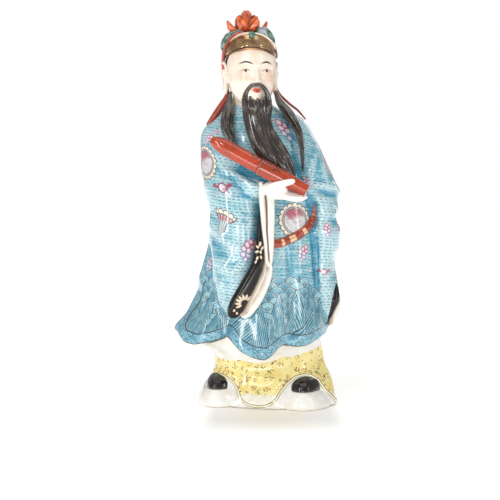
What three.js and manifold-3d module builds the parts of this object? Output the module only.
// A glazed porcelain figure of a bearded court official, in three.js.
// He stands on a low base formed by his under-robe and shoes, holds a long red roll across
// the chest with his right hand, and lets his left arm hang inside a wide sleeve.
// The figure was moulded and luted in one piece, so it is one closed body.
// Millimetres, +Z up, facing -Y. The origin is the middle of the footprint, on the underside.
import * as THREE from "three";
import { mergeVertices } from "three/addons/utils/BufferGeometryUtils.js";
import Module from "manifold-3d";

const wasm = await Module();
wasm.setup();

// Driving sizes. A row of a section table is [height, middle x, middle y, half width, half depth].
const FIGURE_HEIGHT = 437;
const BELOW_GROUND = 3; // lower parts start this deep and are sliced flat at the ground
const UNDER_ROBE = [
  [-BELOW_GROUND, 0, -2, 77, 47],
  [6, 0, -2, 76.5, 47],
  [18, 1, -2, 72, 44],
  [30, 3, -1, 66.5, 41],
  [42, 2, 0, 62, 39],
  [58, 1, 0, 62, 39],
  [78, 1, 1, 62, 39],
  [100, 0, 0, 52, 36],
];
const ROBE = [
  [0, -19, -1, 92, 59],
  [12, -16, -1, 88, 57],
  [30, -11, -1, 82, 54],
  [52, -7, -2, 74.5, 51],
  [82, -4, -3, 68, 49],
  [112, -2, -4, 63, 48],
  [140, 0, -4, 57, 47],
  [165, -1, -3, 56, 44],
  [190, -5, -1, 57, 42],
  [212, -10, 0, 56, 39],
  [228, -13, 1, 51, 35],
  [241, -15, 1, 42, 30],
  [253, -17, 0, 32, 26],
  [266, -18, -2, 23, 22],
];
const ROBE_TOP = 344;
const HEM = [
  // [degrees round from the front, towards the figure's left; height of the hem there]
  [-165, 68], [-140, 76], [-112, 67], [-90, 75], [-62, 71], [-38, 64], [-17, 79], [9, 58],
  [26, 72], [40, 67], [80, 79], [108, 69], [135, 77], [165, 64],
];
const HEM_ROLL = 7; // how far the cloth swings out at a low point of the hem
const PLEATS = { count: 9, depth: 1.2 };
const UNDERSIDE = { share: 0.05, width: 0.72, rise: 12 }; // share: of the rings, for the underside
const RIGHT_SLEEVE = [
  [103, -37, -50, 6, 8],
  [111, -38, -48, 13, 14],
  [128, -37.5, -44, 19, 21],
  [148, -36, -39, 24, 26],
  [168, -34.5, -35, 27.5, 30],
  [190, -35, -30, 29.5, 34],
  [214, -35, -28, 29.5, 36],
  [234, -36, -26, 31, 37],
  [248, -38, -20, 33, 38],
  [262, -40, -13, 34, 37],
  [282, -43, -7, 32, 35],
  [298, -45, -3, 30, 31],
  [310, -44, -1, 26, 25],
  [319, -38, 0, 17, 16],
];
const LEFT_SLEEVE = [
  [88, 66, 6, 5, 12],
  [98, 66, 5, 11, 24],
  [112, 65, 4, 15.5, 32],
  [128, 63, 4, 18, 35],
  [150, 60, 3, 18, 35],
  [166, 59, 2, 18.5, 35],
  [181, 59, 2, 22, 37],
  [194, 59, 1, 23.5, 37],
  [208, 58, 0, 19.5, 34],
  [224, 56, -1, 22.5, 35],
  [241, 51, -3, 27, 36],
  [255, 46, -3, 27, 36],
  [270, 39, -2, 27, 35],
  [288, 32, 0, 26, 32],
  [302, 27, 1, 23, 28],
  [312, 24, 1, 21, 23],
  [323, 18, 1, 17, 15],
];
const RIGHT_FOLDS = { foot: 103, count: 7, phase: 0.5 };
const LEFT_FOLDS = { foot: 88, count: 6, phase: 1.2 };
const CUFF = [
  // the white sleeve ends that hang from the wrist and turn under the outer sleeve
  [104, -28, -55, 7, 6],
  [112, -21, -57, 10, 7],
  [130, -10, -58, 10, 8],
  [150, -3, -58, 8.5, 9],
  [175, -1, -58, 7.5, 10],
  [205, -1, -58, 8, 11],
  [235, -2, -57, 8.5, 12],
  [250, -3, -54, 8, 11],
];
const HEAD = { at: [-19, -9, 368], half: [27.5, 31, 36], turn: 12 };
const EAR = { half: [4.5, 8, 17], out: 26.5, back: 4, up: -2 };
const NOSE = { half: [5, 6.5, 9], forward: 29, up: -6 };
const NECK = { radius: 20, from: 318, to: 352 };
const HAT = [
  [386, -19, -8, 27, 30],
  [392, -19, -9, 29.5, 33],
  [402, -19.5, -9, 30, 33.5],
  [410, -20, -8, 28, 31],
  [416, -21, -7, 22, 24],
  [419, -22, -7, 12, 13],
];
const LEAF_SCROLL = { half: [11, 11, 8], lean: 24, x: -23.5, y: -11, z: 404, out: 20.5 };
const FLOWER = { at: [-24, -8, 416], rows: [
  // petals in a row, how far they lean out in degrees, their length and half width
  { petals: 6, lean: 64, length: 23, half: 8.5 },
  { petals: 5, lean: 34, length: 20, half: 7.5 },
] };
const PETAL_THICK = 4.4;
const PETAL_CUP = 3;
const BUD = { half: [7.5, 7.5, 12], up: 9 };
const BEARD = [
  // [middle x, y, height, half width, half depth], from the lip to the tip
  [-13, -36, 352, 11, 4],
  [-12, -38, 340, 15, 6],
  [-12, -43, 320, 17.5, 7.5],
  [-7, -47, 300, 17.5, 8],
  [0, -50, 284, 17, 7.5],
  [9, -52, 272, 14.5, 7],
  [18, -53, 262, 9, 6],
  [27, -54, 253, 3.5, 4],
];
const RIGHT_LOCK = [
  [-42, -12, 350, 3, 5],
  [-43, -17, 336, 5, 7],
  [-45, -24, 321, 7.5, 8],
  [-46, -30, 308, 7.5, 8],
  [-44, -35, 299, 6.5, 7],
  [-38, -39, 290, 4, 6],
];
const LEFT_LOCK = [
  [8, -11, 350, 3, 5],
  [12, -15, 336, 4.5, 7],
  [19, -22, 324, 6.5, 7],
  [27, -27, 314, 7.5, 7],
  [33, -31, 302, 6, 7],
  [35.5, -34, 290, 4, 7],
  [37, -37, 276, 2.6, 6],
  [38, -39, 262, 1.6, 5],
];
const ROLL = [
  // the red roll in the hand, from its rounded upper end to its narrow lower end
  [-61, -58, 293, 5, 4],
  [-57, -60, 291, 8, 6],
  [-50, -62, 287.5, 8.8, 6.6],
  [-8, -70, 265, 8.3, 6.4],
  [-6, -70.5, 264, 8.9, 7],
  [40, -74, 240, 6.4, 5.6],
  [42, -74, 239, 5.2, 4.6],
];
const FOREARM = [
  [-14, -52, 243, 9, 8],
  [2, -63, 244, 9.5, 7.5],
];
const PALM = [
  [0, -64, 243, 9.5, 6],
  [10, -69, 243, 10, 6],
  [20, -73, 240, 9, 5.5],
];
const THUMB = [
  [8, -74, 246, 4.4, 4],
  [18, -80, 249, 4, 3.8],
  [27, -82, 250.5, 3, 3],
];
const FINGERS = { count: 4, from: [15, -69, 236], to: [39, -76, 229.5], radius: 3.1, apart: [-0.7, 2, 1] };
const BELT = { height: 196, slope: 18, half: 4.2, proud: 3.2, thick: 5, share: 0.42 };
const SHOES = {
  right: { at: [-50, -30, 0], turn: -24, wide: 0.86 },
  left: { at: [39, -33, 0], turn: 6, wide: 1 },
};
const SOLE = [
  [-BELOW_GROUND, 0, 0, 24, 27],
  [4, 0, 0, 25, 28],
  [13, 0, 0, 24.5, 27],
  [19, 0, 1, 20, 23],
];
const TOE_CAP = [
  [14, 0, 3, 16, 23],
  [24, 0, 3, 16, 21.5],
  [32, 0, 4, 13, 17],
  [37, 0, 5, 8, 10],
];
const RIBBONS = [
  [[-43, 4, 392, 3.5, 2.5], [-45, 6, 366, 3.5, 2.5], [-46, 8, 346, 4, 3], [-52, 7, 330, 5, 4],
    [-60, 4, 317, 5, 4], [-66, 1, 304, 4, 4]],
  [[5, 4, 392, 3.5, 2.5], [7, 8, 366, 3.5, 2.5], [9, 9, 346, 4, 3], [20, 7, 332, 5, 4],
    [32, 3, 318, 4, 4]],
];

const { degToRad, radToDeg, lerp, clamp } = THREE.MathUtils;

// A smooth row read from a table at a place from 0 to 1 along it (Catmull-Rom).
function along(rows, place) {
  const at = clamp(place, 0, 1) * (rows.length - 1);
  const i = Math.min(Math.floor(at), rows.length - 2);
  const t = at - i;
  const [a, b, c, d] = [i - 1, i, i + 1, i + 2].map((k) => rows[clamp(k, 0, rows.length - 1)]);
  return b.map((_, k) => 0.5 * (2 * b[k] + (c[k] - a[k]) * t
    + (2 * a[k] - 5 * b[k] + 4 * c[k] - d[k]) * t * t
    + (3 * b[k] - a[k] - 3 * c[k] + d[k]) * t * t * t));
}

// Moves every vertex of a geometry to the point that place gives for it.
function moved(geometry, place) {
  const position = geometry.attributes.position;
  const v = new THREE.Vector3();
  for (let i = 0; i < position.count; i += 1) {
    v.fromBufferAttribute(position, i);
    position.setXYZ(i, ...place(v));
  }
  return geometry;
}

// Shapes a cylinder: place gets the angle round from the front, the share of the way up
// and the share of the way out from the axis.
function shapedCylinder(segments, rings, place) {
  return moved(new THREE.CylinderGeometry(1, 1, 1, segments, rings), (v) => (
    place(Math.atan2(v.x, v.z), v.y + 0.5, Math.min(1, Math.hypot(v.x, v.z)))
  ));
}

// A standing form: level sections stacked by a table. fold gives a factor on each section.
function standing(rows, segments, rings, fold = () => 1) {
  return shapedCylinder(segments, rings, (angle, t, r) => {
    const [z, cx, cy, a, b] = along(rows, t);
    const k = r * fold(angle, z);
    return [cx + a * k * Math.sin(angle), cy - b * k * Math.cos(angle), z];
  });
}

// A limb or lock of hair: oval sections square to a smooth path, wide side facing the front.
function limb(rows, segments, rings) {
  const path = new THREE.CatmullRomCurve3(rows.map(([x, y, z]) => new THREE.Vector3(x, y, z)));
  const front = new THREE.Vector3(0, -1, 0);
  return shapedCylinder(segments, rings, (angle, t, r) => {
    const forward = path.getTangent(t);
    const side = new THREE.Vector3().crossVectors(forward, front).normalize();
    const out = new THREE.Vector3().crossVectors(side, forward);
    const [, , , a, b] = along(rows, t);
    return path.getPoint(t)
      .addScaledVector(side, a * r * Math.sin(angle))
      .addScaledVector(out, b * r * Math.cos(angle))
      .toArray();
  });
}

function ellipsoid(half, segments = 16, rings = 10) {
  return new THREE.SphereGeometry(1, segments, rings)
    .rotateX(Math.PI / 2)
    .scale(...half);
}

// The hem's height at an angle from the front, eased between the rows of HEM.
function hemHeight(angle) {
  const first = HEM[0];
  const last = HEM.at(-1);
  const ring = [[last[0] - 360, last[1]], ...HEM, [first[0] + 360, first[1]]];
  const degrees = radToDeg(angle);
  const next = ring.findIndex(([at]) => at >= degrees);
  const [from, low] = ring[next - 1];
  const [to, high] = ring[next];
  const eased = (1 - Math.cos(Math.PI * (degrees - from) / (to - from))) / 2;
  return lerp(low, high, eased);
}

// The outer robe: its foot follows the wavy hem, its cloth swings out where the hem is low,
// and its underside runs back up to the under-robe.
function robe() {
  const meanHem = HEM.reduce((sum, [, z]) => sum + z, 0) / HEM.length;
  const tall = ROBE.at(-1)[0];
  return shapedCylinder(44, 16, (angle, t, r) => {
    const hem = hemHeight(angle);
    const outside = Math.max(0, (t - UNDERSIDE.share) / (1 - UNDERSIDE.share));
    const inward = clamp(1 - t / UNDERSIDE.share, 0, 1);
    const [height, cx, cy, a, b] = along(ROBE, outside);
    const up = clamp(height / tall, 0, 1);
    const swing = HEM_ROLL * ((meanHem - hem) / 10) * (1 - up) ** 3;
    const pleat = PLEATS.depth * Math.sin(PLEATS.count * angle + 1) * (1 - up) ** 2;
    const reach = lerp(1, UNDERSIDE.width, inward) * r;
    return [
      cx + (a + swing + pleat) * reach * Math.sin(angle),
      cy - (b + swing + pleat) * reach * Math.cos(angle),
      lerp(hem, ROBE_TOP, up) + UNDERSIDE.rise * inward,
    ];
  });
}

// Soft upright folds that grow towards the foot of a hanging sleeve.
function sleeveFolds({ foot, count, phase }) {
  return (angle, z) => 1 + 0.05 * clamp(1 - (z - foot) / 130, 0, 1) * Math.sin(count * angle + phase);
}

function head() {
  const [x, y, z] = HEAD.at;
  const parts = [ellipsoid(HEAD.half, 18, 12)];
  for (const side of [-1, 1]) {
    parts.push(ellipsoid(EAR.half, 10, 8).translate(side * EAR.out, EAR.back, EAR.up));
  }
  parts.push(ellipsoid(NOSE.half, 10, 8).translate(0, -NOSE.forward, NOSE.up));
  parts.forEach((part) => part.rotateZ(degToRad(HEAD.turn)).translate(x, y, z));
  const neck = new THREE.CylinderGeometry(NECK.radius, NECK.radius, NECK.to - NECK.from, 20)
    .rotateX(Math.PI / 2)
    .translate(x, y + 4, (NECK.from + NECK.to) / 2);
  return [...parts, neck];
}

function hat() {
  const scrolls = [-1, 1].map((side) => ellipsoid(LEAF_SCROLL.half, 12, 8)
    .rotateY(degToRad(side * LEAF_SCROLL.lean))
    .translate(LEAF_SCROLL.x + side * LEAF_SCROLL.out, LEAF_SCROLL.y, LEAF_SCROLL.z));
  return [standing(HAT, 20, 7), ...scrolls];
}

// One petal is a cupped oval scale, leaned out from the middle of the flower.
function petal({ length, half, lean }) {
  return moved(new THREE.SphereGeometry(1, 8, 4), (v) => [
    v.x * half,
    v.y * PETAL_THICK / 2 + v.x ** 2 * PETAL_CUP,
    (v.z + 1) * length / 2,
  ]).rotateX(degToRad(lean));
}

function flower() {
  const petals = FLOWER.rows.flatMap((row, k) => (
    Array.from({ length: row.petals }, (_, i) => (
      petal(row).rotateZ(2 * Math.PI * (i + k / 2) / row.petals)
    ))
  ));
  const bud = ellipsoid(BUD.half, 12, 8).translate(0, 0, BUD.up);
  return [bud, ...petals].map((part) => part.translate(...FLOWER.at));
}

function hand() {
  const fingers = Array.from({ length: FINGERS.count }, (_, i) => {
    const shift = FINGERS.apart.map((d) => d * (i - (FINGERS.count - 1) / 2));
    const near = FINGERS.from.map((v, k) => v + shift[k]);
    const far = FINGERS.to.map((v, k) => v + shift[k]);
    const middle = near.map((v, k) => (v + far[k]) / 2);
    const r = FINGERS.radius;
    return limb([[...near, r, r], [...middle, r, r], [...far, r * 0.6, r * 0.6]], 8, 4);
  });
  return [...[FOREARM, PALM, THUMB].map((rows) => limb(rows, 12, 4)), ...fingers];
}

// The stiff belt is a band round the body that rises towards the figure's left.
function belt() {
  const [, cx, cy, a, b] = along(ROBE, BELT.share);
  const tube = 0.1;
  return moved(new THREE.TorusGeometry(1, tube, 4, 36), (v) => {
    const angle = Math.atan2(v.x, -v.y);
    const out = BELT.proud + ((Math.hypot(v.x, v.y) - 1) / tube) * BELT.thick / 2;
    return [
      cx + (a + out) * Math.sin(angle),
      cy - (b + out) * Math.cos(angle),
      BELT.height + BELT.slope * Math.sin(angle) + (v.z / tube) * BELT.half,
    ];
  });
}

function shoe({ at, turn, wide }) {
  return [standing(SOLE, 18, 4), standing(TOE_CAP, 16, 5)].map((part) => (
    part.scale(wide, 1, 1).rotateZ(degToRad(turn)).translate(...at)
  ));
}

// Turns a three.js geometry into a solid: positions only, shared corners merged.
function solid(geometry) {
  geometry.deleteAttribute("normal");
  geometry.deleteAttribute("uv");
  const merged = mergeVertices(geometry, 1e-4);
  return new wasm.Manifold(new wasm.Mesh({
    numProp: 3,
    vertProperties: merged.attributes.position.array,
    triVerts: new Uint32Array(merged.index.array),
  }));
}

function figureGeometry() {
  const ground = new THREE.BoxGeometry(400, 400, 40).translate(0, 0, -20);
  const pieces = [
    standing(UNDER_ROBE, 36, 6),
    ...shoe(SHOES.right),
    ...shoe(SHOES.left),
    robe(),
    standing(RIGHT_SLEEVE, 22, 15, sleeveFolds(RIGHT_FOLDS)),
    standing(LEFT_SLEEVE, 20, 16, sleeveFolds(LEFT_FOLDS)),
    standing(CUFF, 12, 9),
    belt(),
    ...head(),
    ...hat(),
    ...flower(),
    limb(BEARD, 12, 9),
    limb(RIGHT_LOCK, 8, 8),
    limb(LEFT_LOCK, 8, 8),
    limb(ROLL, 12, 10),
    ...hand(),
    ...RIBBONS.map((rows) => limb(rows, 6, 6)),
  ];
  const whole = pieces
    .map(solid)
    .reduce((all, piece) => all.add(piece))
    .subtract(solid(ground));
  const { min, max } = whole.boundingBox();
  console.log(`figure ${(max[2] - min[2]).toFixed(1)} mm tall, meant to be ${FIGURE_HEIGHT}`);
  const mesh = whole.getMesh();
  const geometry = new THREE.BufferGeometry();
  geometry.setAttribute("position", new THREE.BufferAttribute(new Float32Array(mesh.vertProperties), 3));
  geometry.setIndex(new THREE.BufferAttribute(new Uint32Array(mesh.triVerts), 1));
  geometry.computeVertexNormals();
  return geometry;
}

const turquoiseGlaze = new THREE.MeshStandardMaterial({ color: 0x7cc0d6, roughness: 0.15, metalness: 0 });

const figure = new THREE.Mesh(figureGeometry(), turquoiseGlaze);
figure.name = "figure";

const group = new THREE.Group();
group.add(figure);

export default group;
